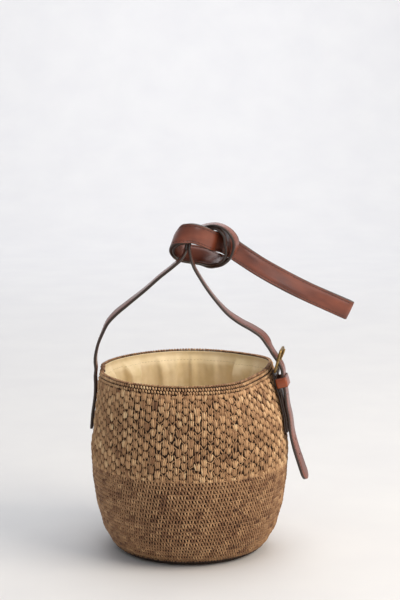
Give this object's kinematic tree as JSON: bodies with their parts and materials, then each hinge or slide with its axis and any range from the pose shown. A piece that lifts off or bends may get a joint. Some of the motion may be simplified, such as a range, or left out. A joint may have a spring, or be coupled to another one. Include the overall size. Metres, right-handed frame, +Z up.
{
  "type": "bucket bag",
  "caption": "Round crocheted bucket bag with a cotton lining and a long leather shoulder strap, buckled at one side and knotted on itself.",
  "frame": {"origin": "centre of the round base, on the surface that the bag stands on", "axes": "+Z up; +X towards the buckle side; +Y towards the back, away from the side that the knot's front wrap faces"},
  "size_m": [0.3239, 0.242, 0.4087],
  "materials": {
    "raffia_tight": "matte",
    "raffia_chunky": "matte",
    "raffia_rim": "matte",
    "lining_cotton": "matte",
    "stiff_board": "matte",
    "strap_leather": "satin",
    "chape_leather": "satin",
    "keeper_leather": "satin",
    "antique_brass": "satin",
    "waxed_thread": "matte",
    "hem_thread": "matte"
  },
  "bodies": {
    "root": {"crochet_base": "raffia_tight", "crochet_lower_wall": "raffia_tight", "crochet_upper_wall": "raffia_chunky", "crochet_rim": "raffia_rim", "base_board": "stiff_board", "lining_wall": "lining_cotton", "lining_base": "lining_cotton", "hem_stitches": "hem_thread", "left_backing_patch": "chape_leather", "right_backing_patch": "chape_leather", "strap_left_end": "strap_leather", "left_anchor_stitches": "waxed_thread", "strap_buckle_run": "strap_leather", "chape": "chape_leather", "chape_stitches": "waxed_thread"},
    "strap": {"strap_left_leg": "strap_leather", "strap_right_leg": "strap_leather", "strap_knot_band": "strap_leather", "strap_knot_wrap": "strap_leather", "strap_loop_end": "strap_leather"},
    "strap_tail": {"strap_tail": "strap_leather"},
    "keeper": {"keeper": "keeper_leather"},
    "buckle_frame": {"buckle_frame": "antique_brass"},
    "buckle_prong": {"buckle_prong": "antique_brass"}
  },
  "joints": [
    {"name": "strap_swing", "type": "hinge", "parent": "root", "child": "strap", "pos_m": [-0.109, 0, 0.266], "axis": [0.9966, -0.0821, 0], "range_deg": [-90, 90]},
    {"name": "tail_lift", "type": "hinge", "parent": "root", "child": "strap_tail", "pos_m": [0.11676, -0.02059, 0.1974], "axis": [-0.1736, -0.9848, 0], "range_deg": [0, 65]},
    {"name": "keeper_slide", "type": "slide", "parent": "root", "child": "keeper", "axis": [-0.249, 0.0439, 0.9675], "range_m": [-0.0055, 0.0015]},
    {"name": "buckle_turn", "type": "hinge", "parent": "root", "child": "buckle_frame", "pos_m": [0.10597, -0.01869, 0.227], "axis": [0.1736, 0.9848, 0], "range_deg": [0, 5]},
    {"name": "prong_lift", "type": "hinge", "parent": "buckle_frame", "child": "buckle_prong", "pos_m": [0.10597, -0.01869, 0.227], "axis": [0.1736, 0.9848, 0], "range_deg": [0, 8]}
  ]
}
